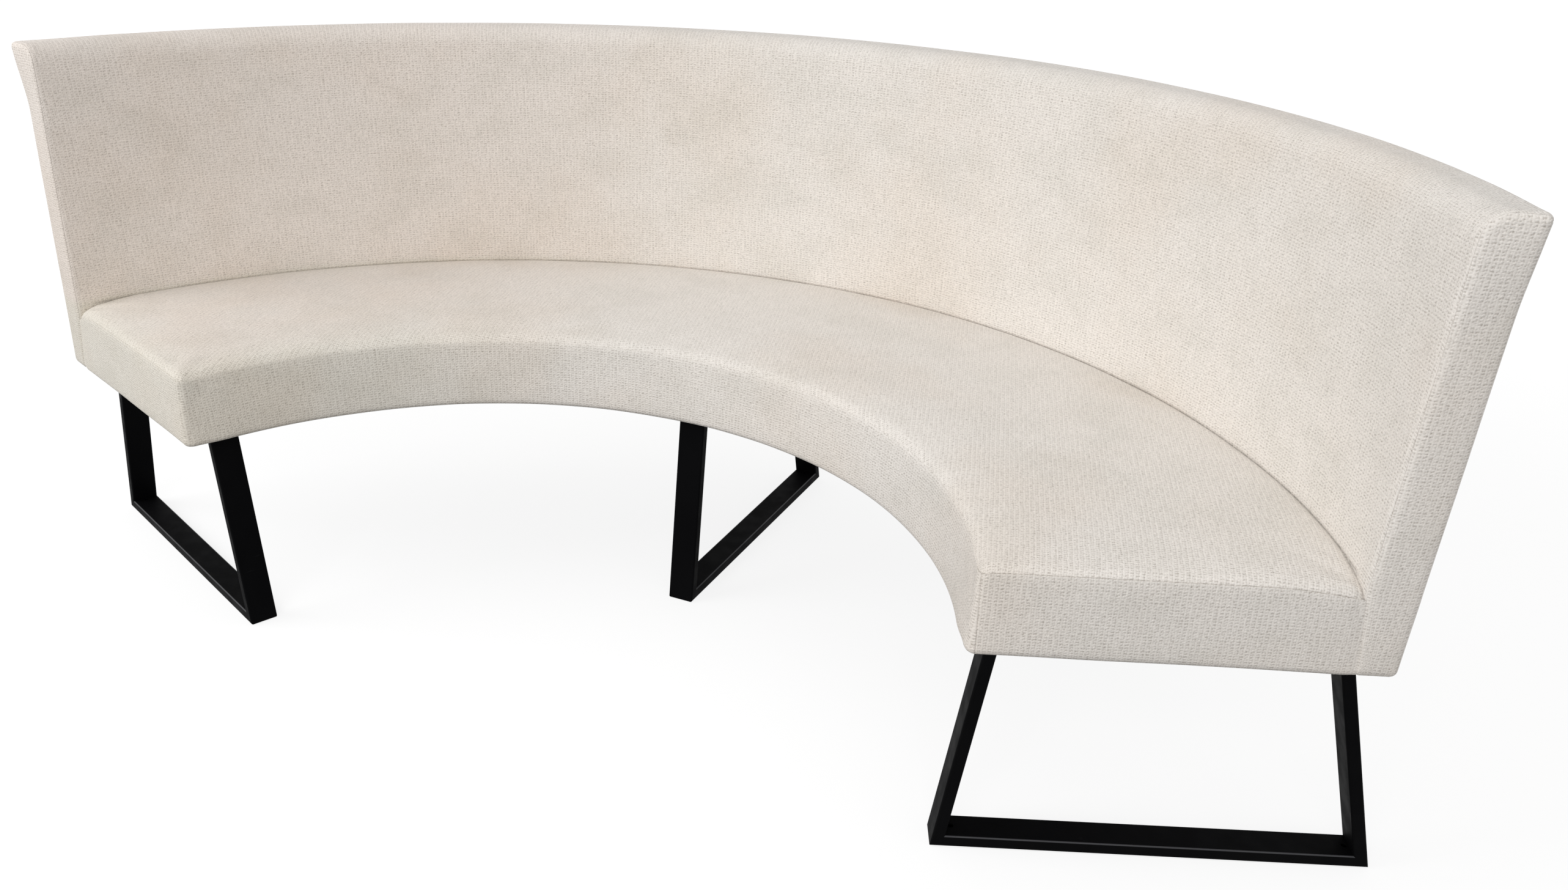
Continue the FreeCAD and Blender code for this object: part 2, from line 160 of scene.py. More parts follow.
# Straight block cut into a grid; rounding says which edges are round, their radius and their steps
def makeBlock(size, rounding, cells, endLoops):
    bm = bmesh.new()
    bmesh.ops.create_cube(bm, size=1)
    bmesh.ops.scale(bm, vec=size, verts=bm.verts)
    bmesh.ops.translate(bm, vec=(0, size[1] / 2, size[2] / 2), verts=bm.verts)
    for wanted, radius, segments in rounding:
        roundEdges(bm, sharpEdges(bm, wanted), radius, segments)
    alongAxis, deepAxis, upAxis = Vector((1, 0, 0)), Vector((0, 1, 0)), Vector((0, 0, 1))
    cutAt(bm, deepAxis, evenPlaces(0, size[1], cells[1]))
    cutAt(bm, upAxis, evenPlaces(0, size[2], cells[2]))
    for side in (-1, 1):
        cutAt(bm, alongAxis, [side * (size[0] / 2 - inset) for inset in endLoops])
    longEdges = [edge for edge in bm.edges if edge.calc_length() > size[0] / 2]
    bmesh.ops.subdivide_edges(bm, edges=longEdges, cuts=round(size[0] / cells[0]), use_grid_fill=True)
    return bm


# Vertices keep the block's own place, which says later what panel and how near a seam they are
def keepBlockPlaces(bm):
    layer = bm.verts.layers.float_vector.new("block")
    for vert in bm.verts:
        vert[layer] = vert.co
    return layer


def onLine(distance):
    return abs(distance) < 0.0001


def smoothStep(value, low, high):
    part = min(1, max(0, (value - low) / (high - low)))
    return part * part * (3 - 2 * part)


# Cloth simulation that rounds the padded pieces
padding = {
    "frames": 20, "quality": 4, "mass": 0.3, "pressure": 4,
    "stretch": 25, "shear": 12, "bending": 2,
}


# Inflates a closed piece a little and holds the pinned vertices; no point moves further than its cap
def inflate(thing, pinned, caps):
    rest = [vert.co.copy() for vert in thing.data.vertices]
    group = thing.vertex_groups.new(name="pins")
    group.add(pinned, 1, "REPLACE")
    simulation = thing.modifiers.new("padding", "CLOTH")
    settings = simulation.settings
    settings.quality = padding["quality"]
    settings.mass = padding["mass"]
    settings.tension_stiffness = settings.compression_stiffness = padding["stretch"]
    settings.shear_stiffness = padding["shear"]
    settings.bending_stiffness = padding["bending"]
    settings.use_pressure = True
    settings.uniform_pressure_force = padding["pressure"]
    settings.vertex_group_mass = group.name
    settings.effector_weights.gravity = 0
    simulation.point_cache.frame_end = padding["frames"]
    for step in range(1, padding["frames"] + 1):
        scene.frame_set(step)
    shaped = thing.evaluated_get(bpy.context.evaluated_depsgraph_get()).data
    moved = [vert.co.copy() for vert in shaped.vertices]
    thing.modifiers.remove(simulation)
    thing.vertex_groups.remove(group)
    scene.frame_set(1)
    for vert, start, end, cap in zip(thing.data.vertices, rest, moved, caps):
        shift = end - start
        vert.co = start + shift * (cap / (cap + shift.length))


# Sinks the seams as narrow grooves and adds the faint unevenness of hand-pulled cloth. A seam's tone is how
# much painted shade its line gets, and only a faint one is shallower.
def finishCloth(thing, values, seamShadeTones):
    mesh = thing.data
    normals = [vert.normal.copy() for vert in mesh.vertices]
    seamShadeLine = mesh.attributes.new("seam", "FLOAT", "POINT")
    for number, (vert, normal, tone) in enumerate(zip(mesh.vertices, normals, seamShadeTones)):
        spot = vert.co / values["wavelength"]
        ripple = noise.noise(spot) + 0.5 * noise.noise(2.3 * spot)
        vert.co += normal * (values["unevenness"] * ripple - values["seamDepth"] * min(1, 3 * tone))
        seamShadeLine.data[number].value = tone
    mesh.attributes.remove(mesh.attributes["block"])


# How much further cloth runs round a rolled edge than its shadow on the flat does
def rollExtra(drop, radius):
    if drop <= 0:
        return 0
    turn = math.acos(max(0, 1 - drop / radius))
    return radius * (turn - math.sin(turn))


def addSubdivision(thing):
    modifier = thing.modifiers.new("smooth", "SUBSURF")
    modifier.levels = modifier.render_levels = 1


def declarePadded(thing, replaced):
    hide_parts(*replaced)
    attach(thing, "root")


# Seat pad, in metres; a pair of values is for left and right
seat = {
    "seamHeight": 0.118,  # above the underside
    "depth": 0.462, "tuck": 0.006,  # the rear edge is pressed into the back
    "cornerEdge": 0.016, "topEdge": 0.015, "bottomEdge": 0.009,  # roundings
    "crease": 0.0045, "creaseWidth": 0.011,
    "backShift": 0.018, "shiftReach": 0.08,
    "crown": 0.0045, "crownReach": 0.12, "crownPower": 0.7,
    "dip": 0.010, "dipReach": 0.11, "dipPower": 1.5, "dipStart": 0.02,
    "valley": 0.0025, "valleyDepth": 0.014, "valleyReach": 0.02,
    "frontSag": 0.004, "sagReach": 0.045, "sagStart": 0.06,
    "rearCorners": (0.009, 0.001), "rearReach": 0.035,  # how much the rear corners are pulled down
    "cornerPull": 0.008, "cornerReach": 0.07,
    "hem": 0.028, "hemStep": 0.0016,
    "cells": (0.0105, 0.0105, 0.0105), "endLoops": (0.006, 0.017, 0.026),
    "grainTurn": 15.6,  # degrees
    "cornerSeam": 0.0050, "cornerSlant": 0.010,  # how far round the corner, and how much more at the bottom
    "endStrip": 0.0165, "frontStrip": 0.05,  # how far from the end and the front the corner seams may cut
    "seamHalf": 0.0012, "seamDepth": 0.0013,
    # painted shade along the seams and in the crease; the lit left end and corner get less than the right
    # ones
    "shadeTones": {"end": (0.3, 0.7), "corner": (0.12, 0.35), "front": 0.12, "crease": 0.55},
    "unevenness": 0.0007, "wavelength": 0.2,
    "swell": 0.0035, "bandSwell": 0.0016,
}


# Seat and back meet further to the rear towards the bottom
def lowShift(rise):
    return seat["backShift"] * max(0, 1 - rise / seat["seamHeight"])


# Distance behind the seam that runs down the seat's front corners, on the block
def behindCorner(deep, rise):
    return deep - seat["cornerSeam"] - seat["cornerSlant"] * (1 - rise / seat["seamHeight"])


def cutCornerSeams(bm, halfLength):
    normal = Vector((0, 1, seat["cornerSlant"] / seat["seamHeight"]))
    start = Vector((0, seat["cornerSeam"], seat["seamHeight"]))
    endLine = halfLength - seat["endStrip"]
    for step in (-seat["seamHalf"], 0, seat["seamHalf"]):
        near = [face for face in bm.faces
                if all(abs(vert.co.x) > endLine and vert.co.y < seat["frontStrip"] for vert in face.verts)]
        parts = {part for face in near for part in (face, *face.edges, *face.verts)}
        bmesh.ops.bisect_plane(bm, geom=list(parts), dist=1e-6,
                               plane_co=start + Vector((0, step, 0)), plane_no=normal)


def makeSeat():
    depth = seat["depth"]
    height = bench["seatHeight"] - bench["underside"]
    middleRadius = (frontRadius(bench["seatHeight"]) + bench["faceRadius"]) / 2
    halfLength = middleRadius * endTurn(middleRadius, bench["seatHeight"])
    rear = depth + seat["tuck"] - 0.001
    top = height - 0.001
    rounding = [
        (lambda place: place.y < 0.001 and 0.001 < place.z < top, seat["cornerEdge"], 6),
        (lambda place: place.y < rear and place.z > top, seat["topEdge"], 5),
        (lambda place: place.y < rear and place.z < 0.001, seat["bottomEdge"], 4),
    ]
    size = (2 * halfLength, depth + seat["tuck"], height)
    bm = makeBlock(size, rounding, seat["cells"], seat["endLoops"])
    cutSeam(bm, seat["seamHeight"], seat["seamHalf"])
    cutAt(bm, Vector((0, 1, 0)), [depth - seat["creaseWidth"], depth - seat["creaseWidth"] / 3, depth])
    cutCornerSeams(bm, halfLength)
    block = keepBlockPlaces(bm)
    for vert in bm.verts:
        along, deep, rise = vert[block]
        left = halfLength - abs(along)
        level = bench["underside"] + rise
        front = frontRadius(level)
        share = deep / depth
        radius = front + share * (faceRadius(level) - front)
        atCorner = smoothStep(left, seat["cornerReach"], 0) * smoothStep(deep, seat["cornerReach"], 0)
        radius += seat["cornerPull"] * atCorner * (1 - rise / height)
        radius += lowShift(rise) * smoothStep(deep, depth - seat["shiftReach"], depth)
        pulled = seat["valley"] * smoothStep(deep, depth - seat["valleyDepth"], depth)
        pulled *= smoothStep(left, seat["valleyReach"], 0)
        vert.co = bentPoint(math.copysign(abs(along) - pulled, along), halfLength, radius, level)
        sunk = max(0, 1 - left / seat["dipReach"]) * max(0, 1 - (depth - deep) / seat["dipReach"])
        atRearCorner = smoothStep(left, seat["rearReach"], 0)
        atRearCorner *= smoothStep(depth - deep, seat["rearReach"], 0)
        drop = seat["dip"] * sunk ** seat["dipPower"] + seat["rearCorners"][along > 0] * atRearCorner
        vert.co.z -= drop * smoothStep(rise, seat["dipStart"], seat["seamHeight"])
        sag = seat["frontSag"] * smoothStep(deep, seat["sagReach"], 0) ** 2
        vert.co.z -= sag * smoothStep(rise, seat["sagStart"], height)
        if rise > seat["seamHeight"]:
            crown = math.sin(math.pi * share) ** seat["crownPower"] if 0 < share < 1 else 0
            vert.co.z += seat["crown"] * crown * smoothStep(left, 0, seat["crownReach"])
            vert.co.z -= seat["crease"] * smoothStep(deep, depth - seat["creaseWidth"], depth)
        inHem = min(left, deep, depth - deep + seat["hem"]) < seat["hem"]
        if rise < 1e-5 and not inHem:
            vert.co.z += seat["hemStep"]
    bmesh.ops.recalc_face_normals(bm, faces=bm.faces)
    bm.normal_update()
    weave = bm.loops.layers.uv.new("weave")
    grain = Matrix.Rotation(math.radians(-seat["grainTurn"]), 2)
    for face in bm.faces:
        middle = sum((vert[block] for vert in face.verts), Vector()) / len(face.verts)
        left = halfLength - abs(middle.x)
        for loop in face.loops:
            along, deep, rise = loop.vert[block]
            place = loop.vert.co
            outward = Vector((place.x, place.y - arcCentreY))
            if middle.z > seat["seamHeight"]:
                aside = loop.vert.normal.to_2d()
                if aside.length > 0.001:
                    outward += aside.normalized() * rollExtra(height - rise, seat["topEdge"])
                spot = grain @ outward
            elif left < seat["endStrip"] and behindCorner(middle.y, middle.z) > 0:
                spot = Vector((outward.length, place.z))
            elif onLine(middle.z):
                spot = outward
            else:
                turn = math.atan2(outward.x, outward.y)
                spot = Vector((turn * frontRadius(bench["seatHeight"]), place.z))
            loop[weave].uv = spot
    cushion = makeObject("seatCushion", bm)
    places = [Vector(item.vector) for item in cushion.data.attributes["block"].data]
    shadeTones = seat["shadeTones"]
    pinned, caps, seamShadeTones = [], [], []
    for number, (along, deep, rise) in enumerate(places):
        left = halfLength - abs(along)
        topSeam = onLine(rise - seat["seamHeight"]) and deep < depth - 0.002
        cornerSeam = (onLine(behindCorner(deep, rise)) and left < seat["endStrip"]
                      and 0.002 < rise < seat["seamHeight"])
        hidden = deep > depth - 0.0005 or rise < 0.0005  # against the back, or underneath
        if topSeam or cornerSeam or hidden:
            pinned.append(number)
        caps.append(seat["swell"] if rise > seat["seamHeight"] else seat["bandSwell"])
        # how much painted shade each seam and the crease get
        if topSeam and left < 0.02:
            seamShadeTones.append(shadeTones["end"][along > 0])
        elif topSeam:
            seamShadeTones.append(shadeTones["front"])
        elif cornerSeam:
            seamShadeTones.append(shadeTones["corner"][along > 0])
        elif deep > depth - 0.0005 and rise > seat["seamHeight"]:
            seamShadeTones.append(shadeTones["crease"])
        else:
            seamShadeTones.append(0)
    inflate(cushion, pinned, caps)
    finishCloth(cushion, seat, seamShadeTones)
    addSubdivision(cushion)
    declarePadded(cushion, [
        "seat_top_cover", "seat_front_band", "seat_end_band_left", "seat_end_band_right", "seat_foam",
        "seat_front_padding", "seat_end_padding_left", "seat_end_padding_right"])
    return cushion


# Back pad, in metres
back = {
    "frontRoll": 0.032, "rearRoll": 0.011, "endEdge": 0.012,  # roundings
    "rearSeamDrop": 0.011, "seamInset": 0.0036, "seamHalf": 0.0010, "seamDepth": 0.0010,
    "cells": (0.0105, 0.0117, 0.0115), "endLoops": (0.012, 0.022), "creaseLine": 0.004,
    "hem": 0.016, "hemStep": 0.0016,
    "ear": 0.011, "earLength": 0.05, "earHeight": 0.12,  # the upper rear corners are pulled out
    # painted shade along the seams and in the crease; the crease's shade fades towards the ends
    "shadeTones": {"seam": 0.35, "crease": 0.55}, "creaseFade": (0.02, 0.06), "coveredFade": 0.02,
    "unevenness": 0.0006, "wavelength": 0.25,
    "swell": 0.0028, "endSwell": 0.0014,
}


def makeBack():
    depth = bench["backThickness"]
    height = bench["backHeight"] - bench["underside"]
    middleRadius = bench["faceRadius"] + depth / 2
    halfLength = middleRadius * endTurn(middleRadius, bench["seatHeight"])
    seamHeight = height - back["rearSeamDrop"]
    top = height - 0.001
    rounding = [
        (lambda place: place.y < 0.001 and place.z > top, back["frontRoll"], 8),
        (lambda place: place.y > depth - 0.001 and place.z > top, back["rearRoll"], 4),
        (lambda place: True, back["endEdge"], 4),
    ]
    inset, half = back["seamInset"], back["seamHalf"]
    endLoops = (inset - half, inset, inset + half, *back["endLoops"])
    bm = makeBlock((2 * halfLength, depth, height), rounding, back["cells"], endLoops)
    cutSeam(bm, seamHeight, half)
    seatLevel = bench["seatHeight"] - bench["underside"]
    creaseHeight = seatLevel - seat["crease"]
    cutAt(bm, Vector((0, 0, 1)), [creaseHeight, creaseHeight + back["creaseLine"]])
    block = keepBlockPlaces(bm)
    for vert in bm.verts:
        along, deep, rise = vert[block]
        left = halfLength - abs(along)
        level = bench["underside"] + rise
        radius = faceRadius(level) + deep + lowShift(rise) * max(0, 1 - 2 * deep / depth)
        ear = back["ear"] * smoothStep(left, back["earLength"], 0)
        ear *= smoothStep(rise, height - back["earHeight"], height) * smoothStep(deep, 0, depth)
        vert.co = bentPoint(math.copysign(abs(along) + ear, along), halfLength, radius, level)
        inHem = min(left, deep, depth - deep) < back["hem"]
        if rise < 1e-5 and not inHem:
            vert.co.z += back["hemStep"]
    bmesh.ops.recalc_face_normals(bm, faces=bm.faces)
    weave = bm.loops.layers.uv.new("weave")
    fullRoll = (math.pi / 2 - 1) * back["frontRoll"]
    for face in bm.faces:
        middle = sum((vert[block] for vert in face.verts), Vector()) / len(face.verts)
        left = halfLength - abs(middle.x)
        onRear = middle.y > depth / 2 and middle.z < seamHeight
        for loop in face.loops:
            along, deep, rise = loop.vert[block]
            place = loop.vert.co
            turn = math.atan2(place.x, place.y - arcCentreY)
            if left < back["seamInset"]:
                spot = Vector((deep, rise))
            elif onRear or middle.z < 0.001:
                spot = Vector((turn * (bench["faceRadius"] + depth), rise))
            else:
                extra = min(fullRoll, rollExtra(deep, back["frontRoll"])) if rise < height else fullRoll
                spot = Vector((turn * bench["faceRadius"], rise + deep + extra))
            loop[weave].uv = spot
    cushion = makeObject("backCushion", bm)
    places = [Vector(item.vector) for item in cushion.data.attributes["block"].data]
    shadeTones = back["shadeTones"]
    pinned, caps, seamShadeTones = [], [], []
    for number, (along, deep, rise) in enumerate(places):
        left = halfLength - abs(along)
        endSeam = onLine(left - back["seamInset"]) and rise > 0.002
        rearSeam = onLine(rise - seamHeight) and deep > depth / 2 and left > back["seamInset"]
        hidden = rise < 0.0005 or deep < 0.001 and rise < seatLevel - 0.004  # below the seat's top
        if endSeam or rearSeam or hidden:
            pinned.append(number)
        caps.append(back["endSwell"] if left < back["seamInset"] else back["swell"])
        shown = smoothStep(rise, seatLevel - back["coveredFade"], seatLevel)  # the seat covers the rest
        # how much painted shade each seam and the crease get
        if deep < 0.001 and onLine(rise - creaseHeight):
            seamShadeTones.append(shadeTones["crease"] * smoothStep(left, *back["creaseFade"]))
        else:
            seamShadeTones.append(shadeTones["seam"] * shown if endSeam or rearSeam else 0)
    inflate(cushion, pinned, caps)
    finishCloth(cushion, back, seamShadeTones)
    addSubdivision(cushion)
    declarePadded(cushion, [
        "back_front_cover", "back_rear_cover", "back_end_cover_left", "back_end_cover_right", "back_foam",
        "back_rear_padding", "back_end_padding_left", "back_end_padding_right"])
    return cushion


seatCushion = makeSeat()
print("seat made:", len(seatCushion.data.polygons), "faces")
backCushion = makeBack()
print("back made:", len(backCushion.data.polygons), "faces")


# Underlining felt, in metres
felt = {"thickness": 0.0012, "cell": 0.04, "gap": 0.002, "rearGap": 0.004, "rise": 0.0002}


# Flat strip bent round the arc between two radii, a little inside the end planes
def makeFelt(name, inner, outer, endGap, replaced):
    width = outer - inner
    middle = (inner + outer) / 2
    level = bench["underside"] + felt["rise"]
    halfLength = middle * endTurn(middle, level) - endGap
    bm = bmesh.new()
    bmesh.ops.create_grid(bm, x_segments=round(2 * halfLength / felt["cell"]),
                          y_segments=max(2, round(width / felt["cell"])), size=1)
    for vert in bm.verts:
        radius = middle + vert.co.y * width / 2
        arcHalf = radius * endTurn(radius, level) - endGap
        turn = vert.co.x * arcHalf / radius
        vert.co = Vector((radius * math.sin(turn), radius * math.cos(turn) + arcCentreY, level))
    bmesh.ops.recalc_face_normals(bm, faces=bm.faces)
    area = sum(face.calc_area() for face in bm.faces)
    thing = makeObject(name, bm)
    solid = thing.modifiers.new("thickness", "SOLIDIFY")
    solid.thickness = felt["thickness"]
    solid.offset = -1
    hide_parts(replaced)
    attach(thing, "root")
    return thing, area


def makeFelts():
    seatFront = frontRadius(bench["underside"])
    backFront = faceRadius(bench["underside"])
    seatHem = seat["hem"] + felt["gap"]
    seatFelt, seatArea = makeFelt("seatUnderlining", seatFront + seatHem, backFront - felt["rearGap"],
                                  seatHem, "seat_underlining")
    backHem = back["hem"] + felt["gap"]
    width = bench["backThickness"] - 2 * backHem
    backFelt, backArea = makeFelt("backUnderlining", backFront + backHem, backFront + backHem + width,
                                  backHem, "back_underlining")
    return [seatFelt, backFelt]


bpy.context.view_layer.update()
felts = makeFelts()
print("felts made")


def startMaterial(name):
    material = bpy.data.materials.new(name)
    material.use_nodes = True
    tree = material.node_tree
    shader = tree.nodes["Principled BSDF"]
    return material, tree, shader


def setSocket(node, name, value):
    node.inputs[name].default_value = value


def link(tree, source, target):
    tree.links.new(source, target)


# One math node; numbers go on its sockets and outputs are linked
def calc(tree, operation, first, second=None):
    node = tree.nodes.new("ShaderNodeMath")
    node.operation = operation
    for socket, value in zip(node.inputs, (first, second)):
        if isinstance(value, bpy.types.NodeSocket):
            link(tree, value, socket)
        elif value is not None:
            socket.default_value = value
    return node.outputs[0]


def ranged(tree, value, low, high, toLow, toHigh):
    node = tree.nodes.new("ShaderNodeMapRange")
    node.interpolation_type = "SMOOTHSTEP"
    link(tree, value, node.inputs[0])
    for socket, number in zip(list(node.inputs)[1:5], (low, high, toLow, toHigh)):
        socket.default_value = number
    return node.outputs[0]


def noiseValue(tree, vector, scale, detail=2.0, roughness=0.5):
    node = tree.nodes.new("ShaderNodeTexNoise")
    link(tree, vector, node.inputs["Vector"])
    setSocket(node, "Scale", scale)
    setSocket(node, "Detail", detail)
    setSocket(node, "Roughness", roughness)
    return node.outputs["Fac"]


def mixColour(tree, factor, first, second, blend="MIX"):
    node = tree.nodes.new("ShaderNodeMix")
    node.data_type = "RGBA"
    node.blend_type = blend
    for socket, value in zip((node.inputs[0], node.inputs[6], node.inputs[7]), (factor, first, second)):
        if isinstance(value, bpy.types.NodeSocket):
            link(tree, value, socket)
        else:
            socket.default_value = (*value, 1) if isinstance(value, tuple) else value
    return node.outputs[2]


# Sum of values times their weights
def weighted(tree, base, pairs):
    total = base
    for value, weight in pairs:
        node = tree.nodes.new("ShaderNodeMath")
        node.operation = "MULTIPLY_ADD"
        link(tree, value, node.inputs[0])
        node.inputs[1].default_value = weight
        if isinstance(total, bpy.types.NodeSocket):
            link(tree, total, node.inputs[2])
        else:
            node.inputs[2].default_value = total
        total = node.outputs[0]
    return total


# The same from a dictionary of shares: its base, plus the parts that it names
def shared(tree, shares, parts):
    return weighted(tree, shares["base"], [(parts[key], shares[key]) for key in shares if key != "base"])


def scaled(tree, vector, factors):
    node = tree.nodes.new("ShaderNodeVectorMath")
    node.operation = "MULTIPLY"
    link(tree, vector, node.inputs[0])
    node.inputs[1].default_value = factors
    return node.outputs[0]


def addBump(tree, shader, height, strength, distance):
    node = tree.nodes.new("ShaderNodeBump")
    setSocket(node, "Strength", strength)
    setSocket(node, "Distance", distance)
    link(tree, height, node.inputs["Height"])
    link(tree, node.outputs[0], shader.inputs["Normal"])


def objectCoords(tree):
    return tree.nodes.new("ShaderNodeTexCoord").outputs["Object"]


def uvCoords(tree):
    node = tree.nodes.new("ShaderNodeUVMap")
    node.uv_map = "weave"
    return node.outputs[0]


# Upholstery cloth
cloth = {
    "warpPitch": 0.00330, "weftPitch": 0.00212,  # metres between threads
    "warpWander": ((60, 0.0030), (230, 0.0024)),  # a noise's scale, and metres
    "weftWander": ((70, 0.0030), (280, 0.0022)),
    # the seam colour is painted shade along the seams and in the creases
    "loop": (0.850, 0.805, 0.754), "gap": (0.475, 0.428, 0.378), "seam": (0.22, 0.19, 0.16),
    "warmTint": (0.965, 0.935, 0.905), "greyTint": (0.940, 0.942, 0.935),
    "seatLeftShade": (0.92, 0.92, 0.88), "backLeftShade": (0.975, 0.945, 0.930),  # painted shade towards the left, stronger on the seat
    "relief": 0.0007, "fuzz": 0.3, "sheen": 0.15,
}

# What each part of the weave adds to the cloth's height, and to the tone of its yarn
heightShares = {
    "base": -0.66, "thickRow": 0.14, "column": 0.15, "check": 0.15, "slant": 0.05, "row": 0.05,
    "opening": -0.20, "loopThick": 0.76, "warpThick": 0.22, "weftThick": 0.18, "curl": 0.30,
}
yarnShares = {"base": 0.74, "loopThick": 0.30, "warpThick": 0.14, "weftThick": 0.08}


# Plain weave with every other weft thread thick: loops stand up where threads cross one way and leave
# small dark gaps where they cross the other. Threads wander, and threads and loops differ in thickness.
def makeCloth(name):
    material, tree, shader = startMaterial(name)
    flat = uvCoords(tree)
    solid = objectCoords(tree)
    split = tree.nodes.new("ShaderNodeSeparateXYZ")
    link(tree, flat, split.inputs[0])
    alongWarp = weighted(tree, split.outputs[0], [
        (noiseValue(tree, flat, scale), amount) for scale, amount in cloth["warpWander"]])
    alongWeft = weighted(tree, split.outputs[1], [
        (noiseValue(tree, solid, scale), amount) for scale, amount in cloth["weftWander"]])
    warpCount = calc(tree, "DIVIDE", alongWarp, cloth["warpPitch"])
    weftCount = calc(tree, "DIVIDE", alongWeft, cloth["weftPitch"])
    warpAngle = calc(tree, "MULTIPLY", warpCount, math.pi)
    weftAngle = calc(tree, "MULTIPLY", weftCount, math.pi)
    thickRow = calc(tree, "COSINE", weftAngle)
    check = calc(tree, "MULTIPLY", calc(tree, "COSINE", warpAngle), thickRow)
    slant = calc(tree, "MULTIPLY", calc(tree, "SINE", warpAngle), calc(tree, "SINE", weftAngle))
    column = calc(tree, "COSINE", calc(tree, "MULTIPLY", warpAngle, 2))
    row = calc(tree, "COSINE", calc(tree, "MULTIPLY", weftAngle, 2))
    loopThick = noiseValue(tree, scaled(tree, flat, (230, 360, 1)), 1, 1)
    warpThick = noiseValue(tree, scaled(tree, flat, (303, 30, 1)), 1, 2)
    weftThick = noiseValue(tree, scaled(tree, flat, (30, 471, 1)), 1, 2)
    closed = ranged(tree, noiseValue(tree, scaled(tree, flat, (110, 170, 1)), 1, 2), 0.35, 0.65, 0.45, 1.0)
    hollow = weighted(tree, check, [(thickRow, 0.8), (slant, 0.7)])
    opening = calc(tree, "MULTIPLY", ranged(tree, hollow, -1.9, -0.6, 1.0, 0.0), closed)
    curl = noiseValue(tree, scaled(tree, flat, (420, 640, 1)), 1, 3, 0.7)
    parts = {
        "thickRow": thickRow, "column": column, "check": check, "slant": slant, "row": row,
        "opening": opening, "loopThick": loopThick, "warpThick": warpThick, "weftThick": weftThick,
        "curl": curl,
    }
    height = shared(tree, heightShares, parts)
    tone = ranged(tree, height, -0.62, 0.10, 1.0, 0.0)
    threads = mixColour(tree, tone, cloth["loop"], cloth["gap"])
    yarns = mixColour(tree, 1.0, threads, shared(tree, yarnShares, parts), "MULTIPLY")
    warm = ranged(tree, noiseValue(tree, solid, 2.7, 4, 0.55), 0.40, 0.66, 0.0, 0.8)
    patches = noiseValue(tree, scaled(tree, solid, (1.0, 1.0, 1.6)), 8, 4, 0.6)
    grey = ranged(tree, patches, 0.42, 0.68, 0.0, 0.9)
    tinted = mixColour(tree, warm, yarns, cloth["warmTint"], "MULTIPLY")
    spot = tree.nodes.new("ShaderNodeSeparateXYZ")
    link(tree, solid, spot.inputs[0])
    # Painted shade: the cloth is darker and warmer towards the left, more on the seat than on the back
    across = weighted(tree, spot.outputs[0], [(noiseValue(tree, solid, 3), 0.3)])
    leftShade = ranged(tree, across, 0.05, -0.55, 0.0, 1.0)
    seatLevel = bench["seatHeight"]
    onBack = ranged(tree, spot.outputs[2], seatLevel - 0.008, seatLevel + 0.012, 0.0, 1.0)
    leftShadeTint = mixColour(tree, onBack, cloth["seatLeftShade"], cloth["backLeftShade"])
    leftShaded = mixColour(tree, leftShade, tinted, leftShadeTint, "MULTIPLY")
    smudged = mixColour(tree, grey, leftShaded, cloth["greyTint"], "MULTIPLY")
    # Painted shade along the seams and the crease, broken into dots
    seamShadeLine = tree.nodes.new("ShaderNodeAttribute")
    seamShadeLine.attribute_name = "seam"
    seamShadeDots = ranged(tree, noiseValue(tree, solid, 260, 1), 0.35, 0.6, 0.45, 1.0)
    seamShade = calc(tree, "MULTIPLY", seamShadeLine.outputs["Fac"], seamShadeDots)
    link(tree, mixColour(tree, seamShade, smudged, cloth["seam"]), shader.inputs["Base Color"])
    link(tree, ranged(tree, height, -0.6, 0.4, 0.98, 0.86), shader.inputs["Roughness"])
    setSocket(shader, "Sheen Weight", cloth["sheen"])
    setSocket(shader, "Sheen Roughness", 0.5)
    setSocket(shader, "Specular IOR Level", 0.2)
    relief = weighted(tree, height, [(noiseValue(tree, solid, 1300, 2), cloth["fuzz"])])
    addBump(tree, shader, relief, 0.8, cloth["relief"])
    return material


# Leg frames; the light grey serves the rubbed scratches and a painted highlight on the upper edges
steel = {
    "dark": (0.0015, 0.0015, 0.0017), "light": (0.004, 0.004, 0.0045), "wearAndHighlight": (0.05, 0.05, 0.055),
    "shine": 0.02, "edgeShine": 0.35, "edgeHighlight": 0.8,
}


# 1 on the rounded upper edges of the tubes, which get a painted highlight and more shine. Each frame stands
# square to the arc, so a tube's sides face along the arc, and its rounded edges lie between side and top.
def upperEdges(tree, solid):
    place = tree.nodes.new("ShaderNodeSeparateXYZ")
    link(tree, solid, place.inputs[0])
    normal = tree.nodes.new("ShaderNodeSeparateXYZ")
    link(tree, tree.nodes.new("ShaderNodeTexCoord").outputs["Normal"], normal.inputs[0])
    turn = calc(tree, "ARCTAN2", place.outputs[0], calc(tree, "SUBTRACT", place.outputs[1], arcCentreY))
    sideways = calc(tree, "ABSOLUTE", calc(
        tree, "SUBTRACT", calc(tree, "MULTIPLY", normal.outputs[0], calc(tree, "COSINE", turn)),
        calc(tree, "MULTIPLY", normal.outputs[1], calc(tree, "SINE", turn))))
    offTop = ranged(tree, sideways, 0.10, 0.35, 0.0, 1.0)
    offSide = ranged(tree, sideways, 0.75, 0.97, 1.0, 0.0)
    upward = ranged(tree, normal.outputs[2], 0.15, 0.5, 0.0, 1.0)
    return calc(tree, "MULTIPLY", calc(tree, "MULTIPLY", offTop, offSide), upward)


